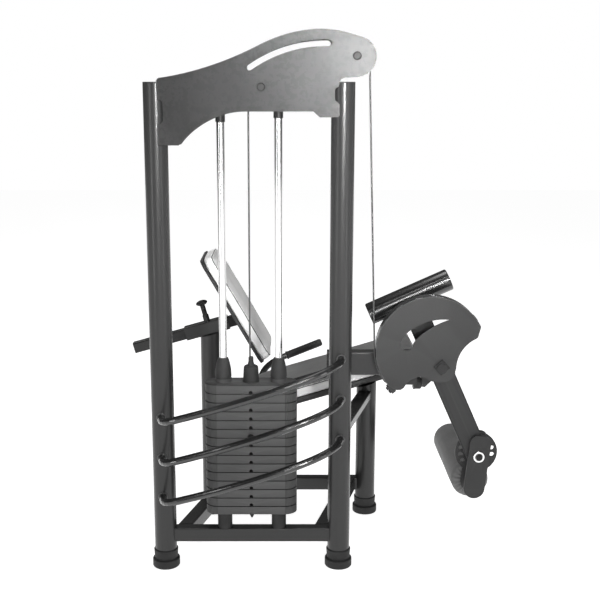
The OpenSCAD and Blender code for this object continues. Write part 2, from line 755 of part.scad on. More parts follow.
module back_layer(x0, t, inset, r) in_back() translate([x0, 0, back_below + back_len / 2]) rotate([90, 0, 90])
    linear_extrude(t) rounded(back_w - 2 * inset, back_len - 2 * inset, r);

module backrest_board() color(board_dark) back_layer(0, back_board_t, 3, 34);

module backrest_pad() color(pad_light) back_layer(back_board_t, back_pad_t, 0, 37);

// Slide tube with its row of locking notches, joined by a slot that the pull pin runs in
module slide_tube() color(coat) {
    difference() {
        in_slide() difference() {
            box_tube(slide_left, 200, slide_w, slide_w);
            translate([-250, -5.5, slide_w / 2 - tube_wall - 1]) cube([310, 11, tube_wall + 2]);
            for (i = [0:9]) translate([-248 + 34 * i, 0, slide_w / 2 - tube_wall - 1])
                cylinder(r = 8, h = tube_wall + 2);
        }
        in_back() translate([-bracket_t, -60, -150]) cube([200, 120, 400]);
    }
    in_back() translate([-bracket_t, -40, -75]) cube([bracket_t, 80, 150]);
}

module slide_sleeve() color(coat) in_slide() {
    difference() {
        box_tube_wide(-97, 73);
        translate([slide_pin_x, 0, 0]) cylinder(r = slide_pin_r + 0.6, h = 60);
    }
    translate([slide_pin_x, 0, sleeve_w / 2]) difference() {
        cylinder(r = 12, h = 24);
        translate([0, 0, -1]) cylinder(r = slide_pin_r + 0.6, h = 30);
    }
}

module box_tube_wide(x0, x1) translate([x0, 0, 0]) rotate([90, 0, 90]) linear_extrude(x1 - x0) difference() {
    rounded(sleeve_w, sleeve_w, corner_r);
    rounded(slide_w + 2 * slide_gap, slide_w + 2 * slide_gap, corner_r);
}

module slide_pin() color(gloss_black) in_slide() translate([slide_pin_x, 0, 0]) rotate_extrude() polygon([
    [0, slide_w / 2 - tube_wall], [slide_pin_r, slide_w / 2 - tube_wall], [slide_pin_r, 49.4], [9.5, 49.4],
    [9.5, 88], [16, 90], [22, 95], [22, 100], [18, 104], [10, 107], [0, 107]
]);

// ---- Handles ----

handle_path = concat(
    [[259, 235, 626], [190, 223, 601]],
    curve([120, 211, 576], [60, 200, 555], [26, 200, 530], [14, 203, 480], 8),
    curve([12, 203, 470], [8, 204, 424], [8, 160, 420], [8, 120, 420], 8),
    [[8, seat_beam_w / 2, 420]]
);

module both_sides() for (side = [-1, 1]) translate([0, rear_y, 0]) mirror([0, side < 0 ? 1 : 0, 0]) children();

module handle_tubes() color(dark_coat) both_sides() swept_bar(handle_path, handle_r, 16);

module handle_grips() color(rubber) both_sides() {
    run = grip_front - grip_rear;
    translate(grip_rear) rotate([0, acos(run.z / norm(run)), atan2(run.y, run.x)])
        rotate_extrude() polygon([
            [handle_r + 0.2, 0], [16.5, 0], [17, 2], [17, 5], [grip_r, 7], [grip_r, norm(run) - 4],
            [grip_r - 3, norm(run) + 3], [0, norm(run) + 3], [0, norm(run) + 0.2], [handle_r + 0.2, norm(run) + 0.2]
        ]);
}

// ---- One line for each piece ----

stand() upright(-1);  // upright_left
stand() upright(1);  // upright_right
stand() upright_caps();
stand() rear_post();
stand() rear_leg();
stand() front_rail();
stand() back_rail();
stand() side_rails();
stand() upper_brace();
stand() foot_cups();
stand() crown_plate(-crown_y - crown_t);  // crown_plate_front
stand() crown_plate(crown_y);  // crown_plate_rear
stand() rod_top_bar();
stand() guide_rods();
stand() rod_collars();
stand() bumpers();
stand() guard_rail(0);  // guard_rail_low
stand() guard_rail(1);  // guard_rail_middle
stand() guard_rail(2);  // guard_rail_high
stand() pulley(centre_axle);  // pulley_centre
stand() pulley(nose_axle);  // pulley_nose
stand() pulley_axles();
stand() top_plate();
stand() lifted_plates();
stand() resting_plates();
stand() selector_stem();
stand() selector_pin();
stand() cable_collar();
stand() rod_bushings();
stand() stack_cable();
stand() upper_cable();
stand() rim_cable();
stand() cable_clamp();
stand() cam_plate();
stand() cam_rim();
stand() cam_boss();
stand() pivot_beam();
stand() bearing_housing();
stand() pivot_bearings();
stand() pivot_shaft();
stand() hub_clamp();
stand() stop_bumper();
stand() lever_bar();
stand() counterweight();
stand() adjust_disc();
stand() link_plates();
stand() link_bolt();
stand() roller_axle();
stand() roller_foam();
stand() link_pin();
stand() seat_beam();
stand() seat_board();
stand() seat_pad();
stand() backrest_board();
stand() backrest_pad();
stand() slide_tube();
stand() slide_sleeve();
stand() slide_pin();
stand() handle_tubes();
stand() handle_grips();
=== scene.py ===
"""Looks of a leg machine with a weight tower. The frame's nodes keep their shapes; this script adds
upholstery, foam, welds and small fittings, and gives every surface its material. Metres, +Z up."""
import math
import json

import bmesh
import bpy
from mathutils import Matrix, Vector, noise
from mathutils.bvhtree import BVHTree


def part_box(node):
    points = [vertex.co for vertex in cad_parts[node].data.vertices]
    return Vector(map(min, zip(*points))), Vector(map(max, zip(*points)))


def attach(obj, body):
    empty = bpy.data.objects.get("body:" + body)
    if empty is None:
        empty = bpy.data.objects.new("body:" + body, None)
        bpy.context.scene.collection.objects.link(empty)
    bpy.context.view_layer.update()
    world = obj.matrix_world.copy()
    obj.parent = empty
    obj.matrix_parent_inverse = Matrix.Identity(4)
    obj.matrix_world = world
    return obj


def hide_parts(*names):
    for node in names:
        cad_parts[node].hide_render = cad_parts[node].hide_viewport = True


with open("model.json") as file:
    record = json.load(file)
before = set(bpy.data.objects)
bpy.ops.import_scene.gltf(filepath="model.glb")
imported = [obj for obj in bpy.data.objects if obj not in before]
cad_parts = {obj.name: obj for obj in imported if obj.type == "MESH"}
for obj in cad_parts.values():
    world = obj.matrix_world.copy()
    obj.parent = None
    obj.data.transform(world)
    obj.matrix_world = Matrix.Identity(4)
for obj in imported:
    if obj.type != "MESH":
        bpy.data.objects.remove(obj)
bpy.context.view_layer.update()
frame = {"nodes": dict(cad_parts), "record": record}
nodes = frame["nodes"]

# Tilts of the seat and the backrest, as the CAD model sets them
SEAT_TILT = math.radians(16.6)
BACK_TILT = math.radians(30)


def centre_of(node):
    low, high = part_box(node)
    return (Vector(low) + Vector(high)) / 2


# Reference places: the floor midway between the uprights, the pivot and the disc
TOWER = (centre_of("upright_left") + centre_of("upright_right")) / 2
TOWER.z = 0
PIVOT = centre_of("bearing_housing")
DISC = centre_of("adjust_disc")


# ---- Camera, stage and lights ----

LENS_MM = 60.06
SENSOR_MM = 36
LENS_SHIFT = 0.0242
CAMERA_PLACE = TOWER + Vector((0.116, -3.252, 1.605))
CAMERA_PITCH = math.radians(78.5)
FARTHEST = 60

# Strength of the white backdrop as it is seen, and as it lights the machine
BACKDROP_SEEN = 1.0
BACKDROP_LIGHT = 0.13

FLOOR_SIZE = 14
FLOOR_DROP = 0.0005
FLOOR_WHITE = 0.9
FLOOR_GLOW = 0.86


def make_camera():
    data = bpy.data.cameras.new("camera")
    data.lens = LENS_MM
    data.sensor_width = SENSOR_MM
    data.shift_x = LENS_SHIFT
    data.clip_end = FARTHEST
    camera = bpy.data.objects.new("camera", data)
    camera.location = CAMERA_PLACE
    camera.rotation_euler = (CAMERA_PITCH, 0, 0)
    bpy.context.scene.collection.objects.link(camera)
    bpy.context.scene.camera = camera


def area_light(name, place, aim, size, power, spread=180):
    data = bpy.data.lights.new(name, "AREA")
    data.shape = "RECTANGLE"
    data.size = size[0]
    data.size_y = size[1]
    data.energy = power
    data.spread = math.radians(spread)
    lamp = bpy.data.objects.new(name, data)
    lamp.location = place
    lamp.rotation_euler = (Vector(aim) - Vector(place)).to_track_quat("-Z", "Y").to_euler()
    bpy.context.scene.collection.objects.link(lamp)


def make_world():
    world = bpy.data.worlds.new("studio")
    bpy.context.scene.world = world
    world.use_nodes = True
    tree = world.node_tree
    backdrop = tree.nodes["Background"]
    backdrop.inputs["Color"].default_value = (1, 1, 1, 1)
    path = tree.nodes.new("ShaderNodeLightPath")
    level = tree.nodes.new("ShaderNodeMapRange")
    level.inputs["To Min"].default_value = BACKDROP_LIGHT
    level.inputs["To Max"].default_value = BACKDROP_SEEN
    tree.links.new(path.outputs["Is Camera Ray"], level.inputs["Value"])
    tree.links.new(level.outputs["Result"], backdrop.inputs["Strength"])


def make_floor():
    mesh = bpy.data.meshes.new("floor")
    floor_mesh = bmesh.new()
    bmesh.ops.create_grid(floor_mesh, x_segments=1, y_segments=1, size=FLOOR_SIZE)
    floor_mesh.to_mesh(mesh)
    floor_mesh.free()
    floor = bpy.data.objects.new("floor", mesh)
    floor.location = (0, 0, -FLOOR_DROP)
    bpy.context.scene.collection.objects.link(floor)
    mat = bpy.data.materials.new("floor_white")
    mat.use_nodes = True
    shader = mat.node_tree.nodes["Principled BSDF"]
    shader.inputs["Base Color"].default_value = (FLOOR_WHITE, FLOOR_WHITE, FLOOR_WHITE, 1)
    shader.inputs["Roughness"].default_value = 0.9
    shader.inputs["Specular IOR Level"].default_value = 0.0
    shader.inputs["Emission Color"].default_value = (1, 1, 1, 1)
    shader.inputs["Emission Strength"].default_value = FLOOR_GLOW
    mesh.materials.append(mat)


def make_lights():
    bpy.context.scene.view_settings.view_transform = "Standard"
    # Tall narrow lights give the round posts their upright lines
    waist = TOWER + Vector((0, 0, 1.0))
    right_of_waist = TOWER + Vector((0.1, 0, 1.0))
    area_light("strip_front", TOWER + Vector((0.15, -4.4, 1.7)), right_of_waist, (0.11, 2.2), 22)
    area_light("strip_right", TOWER + Vector((2.3, -2.0, 1.5)), right_of_waist, (0.16, 2.6), 10)
    area_light("strip_left", TOWER + Vector((-2.3, -2.0, 1.5)), waist, (0.16, 2.4), 12)
    # A long level light draws the line along the counterweight and the guard rails
    counterweight = TOWER + Vector((0.6, 0, 0.9))
    area_light("strip_top", TOWER + Vector((0.6, -2.4, 3.4)), counterweight, (2.6, 0.12), 12)
    # Shines off the crown plate's nose and fades to its left
    crown_nose = TOWER + Vector((0.34, 0, 1.73))
    area_light("nose", TOWER + Vector((0.95, -3.8, 2.0)), crown_nose, (0.4, 0.4), 14, spread=40)
    area_light("top", (0.2, 0.1, 4.2), (0.1, 0.1, 0.5), (2.0, 2.0), 58)
    area_light("rear", (-2.2, 3.4, 2.8), (0, 0, 0.8), (1.2, 1.6), 12)


make_camera()
make_world()
make_floor()
make_lights()


# ---- Materials ----

# Sharpness, in Blender's pointiness, at which an edge begins to look worn and is fully worn
EDGE_STARTS = 0.53
EDGE_FULL = 0.64

# How much lighter than the coat its specks and its worn edges are
SPECK_LIFT = 1.35
WEAR_LIFT = 2.2

VINYL_WARMTH = 0.004


class Graph:
    """Small helper round a material's node tree."""

    def __init__(self, name):
        self.mat = bpy.data.materials.new(name)
        self.mat.use_nodes = True
        self.tree = self.mat.node_tree
        self.shader = self.tree.nodes["Principled BSDF"]
        self.coords = self.tree.nodes.new("ShaderNodeTexCoord").outputs["Object"]

    def add(self, kind, **values):
        node = self.tree.nodes.new(kind)
        for key, value in values.items():
            if key in node.inputs:
                node.inputs[key].default_value = value
            else:
                setattr(node, key, value)
        return node

    def link(self, a, b):
        self.tree.links.new(a, b)

    def noise(self, scale, detail=4.0, roughness=0.6, stretch=None):
        tex = self.add("ShaderNodeTexNoise", Scale=scale, Detail=detail, Roughness=roughness)
        if stretch:
            mapping = self.add("ShaderNodeMapping", Scale=stretch)
            self.link(self.coords, mapping.inputs["Vector"])
            self.link(mapping.outputs["Vector"], tex.inputs["Vector"])
        else:
            self.link(self.coords, tex.inputs["Vector"])
        return tex.outputs["Fac"]

    def voronoi(self, scale):
        tex = self.add("ShaderNodeTexVoronoi", Scale=scale)
        self.link(self.coords, tex.inputs["Vector"])
        return tex.outputs["Distance"]

    def ramp(self, value, low, high, start=0.3, end=0.7):
        ramp = self.add("ShaderNodeValToRGB")
        ramp.color_ramp.elements[0].position = start
        ramp.color_ramp.elements[1].position = end
        ramp.color_ramp.elements[0].color = (*low, 1)
        ramp.color_ramp.elements[1].color = (*high, 1)
        self.link(value, ramp.inputs["Fac"])
        return ramp.outputs["Color"]

    def spread(self, value, low, high):
        remap = self.add("ShaderNodeMapRange")
        remap.inputs["To Min"].default_value = low
        remap.inputs["To Max"].default_value = high
        self.link(value, remap.inputs["Value"])
        return remap.outputs["Result"]

    def edge_mask(self):
        """0 on flat stretches, rising to 1 along worn outside edges."""
        geometry = self.add("ShaderNodeNewGeometry")
        remap = self.add("ShaderNodeMapRange")
        remap.inputs["From Min"].default_value = EDGE_STARTS
        remap.inputs["From Max"].default_value = EDGE_FULL
        self.link(geometry.outputs["Pointiness"], remap.inputs["Value"])
        return remap.outputs["Result"]

    def mix(self, factor, a, b):
        mix = self.add("ShaderNodeMix")
        mix.data_type = "RGBA"
        self.link(factor, mix.inputs["Factor"])
        for socket, value in (("A", a), ("B", b)):
            target = [s for s in mix.inputs if s.name == socket and s.type == "RGBA"][0]
            if isinstance(value, tuple):
                target.default_value = (*value, 1)
            else:
                self.link(value, target)
        return [s for s in mix.outputs if s.type == "RGBA"][0]

    def bump(self, heights, distance):
        """Bump from (height, strength) pairs."""
        last = None
        for height, strength in heights:
            bump = self.add("ShaderNodeBump", Strength=strength, Distance=distance)
            self.link(height, bump.inputs["Height"])
            if last:
                self.link(last, bump.inputs["Normal"])
            last = bump.outputs["Normal"]
        self.link(last, self.shader.inputs["Normal"])

    def colour(self, tone):
        self.link(tone, self.shader.inputs["Base Color"])

    def uneven_roughness(self, scale, detail, low, high, stretch=None):
        level = self.spread(self.noise(scale, detail, stretch=stretch), low, high)
        self.link(level, self.shader.inputs["Roughness"])

    def set(self, **values):
        names = {"metallic": "Metallic", "rough": "Roughness", "coat": "Coat Weight",
                 "coat_rough": "Coat Roughness", "specular": "Specular IOR Level", "sheen": "Sheen Weight",
                 "sheen_rough": "Sheen Roughness"}
        for key, value in values.items():
            self.shader.inputs[names[key]].default_value = value


def grey(level, warm=0.0):
    return (level * (1 + warm), level, level * (1 - warm))


def powder_coat(name, low, high, rough, grain, shine):
    g = Graph(name)
    tone = g.ramp(g.noise(9, 5), grey(low), grey(high))
    speck = g.ramp(g.noise(900, 2), grey(0.0), grey(1.0), 0.42, 0.62)
    tone = g.mix(speck, tone, grey(high * SPECK_LIFT))
    g.colour(g.mix(g.edge_mask(), tone, grey(high * WEAR_LIFT)))
    g.uneven_roughness(60, 4, rough - 0.02, rough + 0.03)
    g.set(specular=shine)
    g.bump([(g.noise(780, 3), grain), (g.noise(140, 3), grain * 0.4)], 0.0004)
    return g.mat


def gloss_coat(name):
    g = Graph(name)
    g.colour(g.ramp(g.noise(12, 4), grey(0.006), grey(0.012)))
    g.uneven_roughness(45, 5, 0.16, 0.30)
    g.set(specular=0.6, coat=0.6, coat_rough=0.12)
    g.bump([(g.noise(220, 3), 0.10), (g.noise(26, 2), 0.08)], 0.0005)
    return g.mat


def chrome(name):
    g = Graph(name)
    g.colour(g.ramp(g.noise(40, 5, stretch=(1, 1, 0.05)), grey(0.80), grey(0.92)))
    g.uneven_roughness(90, 5, 0.10, 0.24, stretch=(1, 1, 0.04))
    g.set(metallic=1.0)
    g.bump([(g.noise(300, 3, stretch=(1, 1, 0.03)), 0.05)], 0.0002)
    return g.mat


def cast_iron(name):
    g = Graph(name)
    tone = g.ramp(g.noise(18, 6), grey(0.024), grey(0.040))
    g.colour(g.mix(g.edge_mask(), tone, grey(0.11)))
    g.uneven_roughness(70, 5, 0.52, 0.72)
    g.set(specular=0.4)
    g.bump([(g.noise(260, 5, 0.7), 0.45), (g.noise(48, 4), 0.22)], 0.0009)
    return g.mat


def rubber(name, low, high, rough=0.62, grain=0.25):
    g = Graph(name)
    g.colour(g.ramp(g.noise(30, 5), grey(low), grey(high)))
    g.uneven_roughness(120, 4, rough - 0.08, rough + 0.1)
    g.set(specular=0.35)
    g.bump([(g.noise(520, 3), grain)], 0.0004)
    return g.mat


def vinyl(name, low, high, rough, pebble=520, depth=0.35):
    g = Graph(name)
    g.colour(g.ramp(g.noise(7, 5), grey(low, VINYL_WARMTH), grey(high, VINYL_WARMTH)))
    g.uneven_roughness(80, 4, rough - 0.06, rough + 0.08)
    g.set(specular=0.4, sheen=0.08, sheen_rough=0.4)
    g.bump([(g.voronoi(pebble), depth), (g.noise(22, 4), 0.16)], 0.0006)
    return g.mat


def braided_cable(name):
    g = Graph(name)
    wave = g.add("ShaderNodeTexWave", Scale=170.0, Distortion=0.6)
    wave.bands_direction = "DIAGONAL"
    g.link(g.coords, wave.inputs["Vector"])
    g.colour(g.ramp(wave.outputs["Fac"], grey(0.030), grey(0.085), 0.2, 0.8))
    g.set(rough=0.38, coat=0.4, coat_rough=0.15)
    g.bump([(wave.outputs["Fac"], 0.5)], 0.0004)
    return g.mat


def weld_metal(name):
    g = Graph(name)
    g.colour(g.ramp(g.noise(160, 4), grey(0.035), grey(0.085)))
    g.uneven_roughness(200, 4, 0.28, 0.45)
    g.set(specular=0.6, coat=0.3, coat_rough=0.2)
    g.bump([(g.noise(420, 4), 0.4)], 0.0005)
    return g.mat


COAT = powder_coat("powder_coat", low=0.009, high=0.014, rough=0.24, grain=0.25, shine=0.40)
CAM_COAT = powder_coat("powder_coat_cam", low=0.015, high=0.024, rough=0.42, grain=0.42, shine=0.20)
CROWN_COAT = powder_coat("powder_coat_crown", low=0.010, high=0.016, rough=0.27, grain=0.45, shine=0.16)
GLOSS = gloss_coat("gloss_coat")
CHROME = chrome("chrome")
IRON = cast_iron("cast_iron")
RUBBER = rubber("rubber", low=0.016, high=0.028)
PLASTIC = rubber("black_plastic", low=0.006, high=0.012, rough=0.5, grain=0.12)
CABLE = braided_cable("cable_sheath")
FOAM = vinyl("foam_cover", low=0.13, high=0.18, rough=0.60, pebble=700, depth=0.30)
PALE = vinyl("pale_vinyl", low=0.84, high=0.90, rough=0.42)
FACE = vinyl("grey_vinyl", low=0.44, high=0.54, rough=0.46, pebble=480, depth=0.4)
SEAT_FACE = vinyl("dark_grey_vinyl", low=0.15, high=0.20, rough=0.46, pebble=480, depth=0.4)
BOARD = rubber("board_cover", low=0.030, high=0.050, rough=0.55, grain=0.4)
SEAM = vinyl("dark_piping", low=0.035, high=0.055, rough=0.5, pebble=900, depth=0.3)
# Weld metal for the real beads; it also colours the painted highlight line round the front edge of the cam's
# plate
WELD_AND_EDGE_HIGHLIGHT = weld_metal("weld_bead_and_edge_highlight")

BY_SLOT = {
    "powder_coat": COAT, "gloss_coat": GLOSS, "chrome": CHROME, "cast_iron": IRON, "rubber": RUBBER,
    "black_plastic": PLASTIC, "cable_sheath": CABLE, "foam": FOAM, "pale_vinyl": PALE, "board": BOARD,
}
SPECIAL = {
    "crown_plate_front": CROWN_COAT, "crown_plate_rear": CROWN_COAT, "cam_plate": CAM_COAT,
    "lever_bar": CAM_COAT, "link_plates": CAM_COAT, "adjust_disc": CAM_COAT,
}


def dress_nodes():
    slots = {part["node"]: part["material_slot"] for part in frame["record"]["subparts"]}
    for name, obj in nodes.items():
        obj.data.materials.clear()
        obj.data.materials.append(SPECIAL.get(name, BY_SLOT[slots[name]]))


dress_nodes()


# ---- Mesh helpers ----

def new_piece(name, work, mat, body):
    mesh = bpy.data.meshes.new(name)
    bmesh.ops.recalc_face_normals(work, faces=work.faces)
    work.to_mesh(mesh)
    work.free()
    for polygon in mesh.polygons:
        polygon.use_smooth = True
    obj = bpy.data.objects.new(name, mesh)
    bpy.context.scene.collection.objects.link(obj)
    mesh.materials.append(mat)
    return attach(obj, body)


def loft(work, rings, closed=False):
    """Joins equal rings of points with quads. Closed joins the last ring to the first; open has end caps."""
    made = [[work.verts.new(p) for p in ring] for ring in rings]
    pairs = list(zip(made, made[1:]))
    if closed:
        pairs.append((made[-1], made[0]))
    for a, b in pairs:
        count = len(a)
        for i in range(count):
            work.faces.new((a[i], a[(i + 1) % count], b[(i + 1) % count], b[i]))
    if not closed:
        work.faces.new(made[0])
        work.faces.new(made[-1])


def across_pairs(points, closed):
    """Two directions across the path, at right angles, for each of its points."""
    count = len(points)
    pairs = []
    side = None
    for i in range(count):
        ahead = points[(i + 1) % count] if closed else points[min(i + 1, count - 1)]
        behind = points[i - 1] if closed or i else points[0]
        along = (ahead - behind).normalized()
        if side is None:
            side = along.orthogonal().normalized()
        side = (side - along * side.dot(along)).normalized()
        pairs.append((side, along.cross(side)))
    return pairs


def circle_points(centre, axis, radius, count):
    axis = Vector(axis).normalized()
    a = axis.orthogonal().normalized()
    b = axis.cross(a)
    turn = [2 * math.pi * k / count for k in range(count)]
    return [Vector(centre) + radius * (math.cos(t) * a + math.sin(t) * b) for t in turn]


def tube(work, points, radius, sides=10, closed=False, lumps=0.0, pitch=0.0):
    """Round tube along points; lumps and pitch give it the ripples of a weld bead."""
    rings = []
    run = 0.0
    turn = [2 * math.pi * k / sides for k in range(sides)]
    for i, (a, b) in enumerate(across_pairs(points, closed)):
        if i:
            run += (points[i] - points[i - 1]).length
        r = radius * (1 + lumps * math.sin(2 * math.pi * run / pitch)) if pitch else radius
        rings.append([points[i] + r * (math.cos(t) * a + math.sin(t) * b) for t in turn])
    loft(work, rings, closed)


def turned(work, place, axis, profile, sides=48):
    """Solid of revolution: profile is a list of (distance along axis, radius)."""
    axis = Vector(axis)
    loft(work, [circle_points(Vector(place) + axis * along, axis, r, sides) for along, r in profile])


# ---- Upholstery ----

SMALLEST_CORNER = 0.004
SEAT_CORNER = 0.045
BACK_CORNER = 0.04
CROWN = 0.004

# Gaps between a padded cover and the node it replaces: at the sides, under it and over it
COVER_INSET = 0.004
COVER_FOOT = 0.0003
COVER_TOP = 0.004

VOXEL = 0.006
CLOTH_FRAMES = 20
CLOTH_PRESSURE = 4
CLOTH_CAP = 0.006
HELD_DEPTH = 0.004
WRINKLE = 0.0006
WRINKLES_PER_METRE = 22

# A face turned this far towards the pad's front takes the darker vinyl
FRONT_FACING = 0.72

PIPING_RADIUS = 0.0017
PIPING_LIFT = 0.0006
PIPING_STEP = 0.012


def local_box(node, turn):
    """Lowest and highest corners of a node in a frame turned by the given matrix."""
    back = turn.inverted()
    points = [back @ v.co for v in nodes[node].data.vertices]
    return (Vector([min(p[i] for p in points) for i in range(3)]),
            Vector([max(p[i] for p in points) for i in range(3)]))


def rounded_ring(low, high, radius, inset, level, steps=10):
    """Rounded rectangle in local X and Y, at local height level."""
    points = []
    corners = ((high.x, high.y, 0), (low.x, high.y, 90), (low.x, low.y, 180), (high.x, low.y, 270))
    r = max(radius - inset, SMALLEST_CORNER)
    for x, y, start in corners:
        cx = x - math.copysign(radius, x - (low.x + high.x) / 2)
        cy = y - math.copysign(radius, y - (low.y + high.y) / 2)
        for i in range(steps + 1):
            t = math.radians(start + 90 * i / steps)
            points.append(Vector((cx + r * math.cos(t), cy + r * math.sin(t), level)))
    return points


def apply_modifiers(obj):
    bpy.context.view_layer.update()
    shaped = bpy.data.meshes.new_from_object(obj.evaluated_get(bpy.context.evaluated_depsgraph_get()))
    obj.modifiers.clear()
    obj.data = shaped


def simulate(obj, cap, pinned):
    """Inflates a pad with cloth, and moves no point farther than cap."""
    mesh = obj.data
    start = [v.co.copy() for v in mesh.vertices]
    held = obj.vertex_groups.new(name="held")
    held.add([i for i, p in enumerate(start) if pinned(p)], 1.0, "REPLACE")
    cloth = obj.modifiers.new("Cloth", "CLOTH")
    cloth.settings.vertex_group_mass = "held"
    cloth.settings.use_pressure = True
    cloth.settings.uniform_pressure_force = CLOTH_PRESSURE
    cloth.settings.quality = 5
    cloth.settings.effector_weights.gravity = 0
    cloth.point_cache.frame_start = 1
    cloth.point_cache.frame_end = CLOTH_FRAMES
    for step in range(1, CLOTH_FRAMES + 1):
        bpy.context.scene.frame_set(step)
    shaped = obj.evaluated_get(bpy.context.evaluated_depsgraph_get())
    moved = [v.co.copy() for v in shaped.data.vertices]
    obj.modifiers.remove(cloth)
    for vertex, was, now in zip(mesh.vertices, start, moved):
        shift = now - was
        if shift.length > cap:
            shift = shift.normalized() * cap
        vertex.co = was + shift
    bpy.context.scene.frame_set(1)
    obj.vertex_groups.remove(held)


def pad_shell(name, turn, low, high, radius):
    """Plain cushion with rounded corners and edges, as an object of its own."""
    thick = high.z - low.z
    work = bmesh.new()
    rings = [
        rounded_ring(low, high, radius, 0.006, low.z),
        rounded_ring(low, high, radius, 0.001, low.z + 0.2 * thick),
        rounded_ring(low, high, radius, 0.0, low.z + 0.6 * thick),
        rounded_ring(low, high, radius, 0.002, high.z - 0.006),
        rounded_ring(low, high, radius, 0.009, high.z),
    ]
    loft(work, [[turn @ p for p in ring] for ring in rings])
    bmesh.ops.recalc_face_normals(work, faces=work.faces)
    mesh = bpy.data.meshes.new(name)
    work.to_mesh(mesh)
    work.free()
    obj = bpy.data.objects.new(name, mesh)
    bpy.context.scene.collection.objects.link(obj)
    remesh = obj.modifiers.new("Remesh", "REMESH")
    remesh.mode = "VOXEL"
    remesh.voxel_size = VOXEL
    apply_modifiers(obj)
    return obj


def crown_pad(obj, turn, low, high):
    """Raises the middle of the padded face and wrinkles it slightly, then smooths the whole."""
    back = turn.inverted()
    middle = (low + high) / 2
    half = (high - low) / 2
    for vertex in obj.data.vertices:
        p = back @ vertex.co
        lift = max(0.0, min(1.0, (p.z - low.z) / (high.z - low.z)))
        u = min(1.0, abs(p.x - middle.x) / half.x)
        v = min(1.0, abs(p.y - middle.y) / half.y)
        p.z += CROWN * lift * (1 - u ** 4) * (1 - v ** 4)
        p.z += WRINKLE * lift * noise.noise(p * WRINKLES_PER_METRE)
        vertex.co = turn @ p
    for polygon in obj.data.polygons:
        polygon.use_smooth = True
    soft = obj.modifiers.new("Smooth", "SMOOTH")
    soft.iterations = 4
    fine = obj.modifiers.new("Fine", "SUBSURF")
    fine.levels = 1
    fine.render_levels = 1
    apply_modifiers(obj)


def cover_pad(obj, turn, face):
    """Pale vinyl all round, with the given vinyl on the padded face."""
    obj.data.materials.clear()
    obj.data.materials.append(PALE)
    obj.data.materials.append(face)
    facing = turn.to_3x3() @ Vector((0, 0, 1))
    for polygon in obj.data.polygons:
        polygon.material_index = 1 if polygon.normal.dot(facing) > FRONT_FACING else 0


def pad(name, node, turn, body, radius, face):
    """Crowned pad: local Z is the way the padded face looks, and the lowest face lies on the board."""
    low, high = local_box(node, turn)
    low = low + Vector((COVER_INSET, COVER_INSET, COVER_FOOT))
    high = high - Vector((COVER_INSET, COVER_INSET, COVER_TOP))
    obj = pad_shell(name, turn, low, high, radius)
    back = turn.inverted()
    simulate(obj, CLOTH_CAP, lambda p: (back @ p).z < low.z + HELD_DEPTH)
    crown_pad(obj, turn, low, high)
    cover_pad(obj, turn, face)
    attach(obj, body)
    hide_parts(node)
    return obj, low, high


def piping(name, cover, turn, low, high, radius, body):
    """Seam cord round the top of a pad, laid on its real surface."""
    tree = BVHTree.FromObject(cover, bpy.context.evaluated_depsgraph_get())
    ring = rounded_ring(low, high, radius, 0.0, high.z, 14)
    dense = []
    for a, b in zip(ring, ring[1:] + ring[:1]):
        steps = max(1, int((b - a).length / PIPING_STEP))
        dense += [a.lerp(b, i / steps) for i in range(steps)]
    laid = []
    for p in dense:
        near, normal, _, _ = tree.find_nearest(turn @ p)
        laid.append(near + normal * PIPING_LIFT)
    work = bmesh.new()
    tube(work, laid, PIPING_RADIUS, 8, closed=True)
    return new_piece(name, work, SEAM, body)


SEAT_TURN = Matrix.Rotation(-SEAT_TILT, 4, "Y")
# The backrest's face looks along the board's normal
BACK_TURN = Matrix.Rotation(-BACK_TILT, 4, "Y") @ Matrix.Rotation(math.pi / 2, 4, "Y")

seat, seat_low, seat_high = pad("seat_cushion", "seat_pad", SEAT_TURN, "frame", SEAT_CORNER, SEAT_FACE)
rest, rest_low, rest_high = pad("backrest_cushion", "backrest_pad", BACK_TURN, "backrest", BACK_CORNER, FACE)
piping("seat_seam_top", seat, SEAT_TURN, seat_low, seat_high, SEAT_CORNER, "frame")
piping("backrest_seam_top", rest, BACK_TURN, rest_low, rest_high, BACK_CORNER, "backrest")


# ---- Foam roller ----

ROLLER_SKIN = 0.0015
ROLLER_BORE = 0.0133
ROLLER_SIDES = 144
ROLLER_STEPS = 24
END_LENGTH = 0.03

# The cover is gathered into pleats over this length at each end
GATHER_LENGTH = 0.02
PLEATS = 22
PLEAT_DEPTH = 0.0012
PLEAT_SHIFT = 0.0028

# Beyond these radii the cover wobbles, and is pleated and drawn in
WOBBLE_FROM = 0.04
COVER_FROM = 0.05
WOBBLE = 0.0009
DRAWN_IN = 0.0006


def roller_profile(length, outer):
    """(distance along, radius) down the outside of the foam, from one end of its bore to the other."""
    end = [(0.004, ROLLER_BORE), (0.0015, ROLLER_BORE + 0.006), (0.003, 0.028), (0.0, 0.045),
           (0.003, outer - 0.009), (0.009, outer - 0.003), (0.017, outer), (END_LENGTH, outer)]
    straight = length - 2 * END_LENGTH
    middle = [(END_LENGTH + straight * i / ROLLER_STEPS, outer) for i in range(1, ROLLER_STEPS)]
    return end + middle + [(length - along, r) for along, r in reversed(end)]


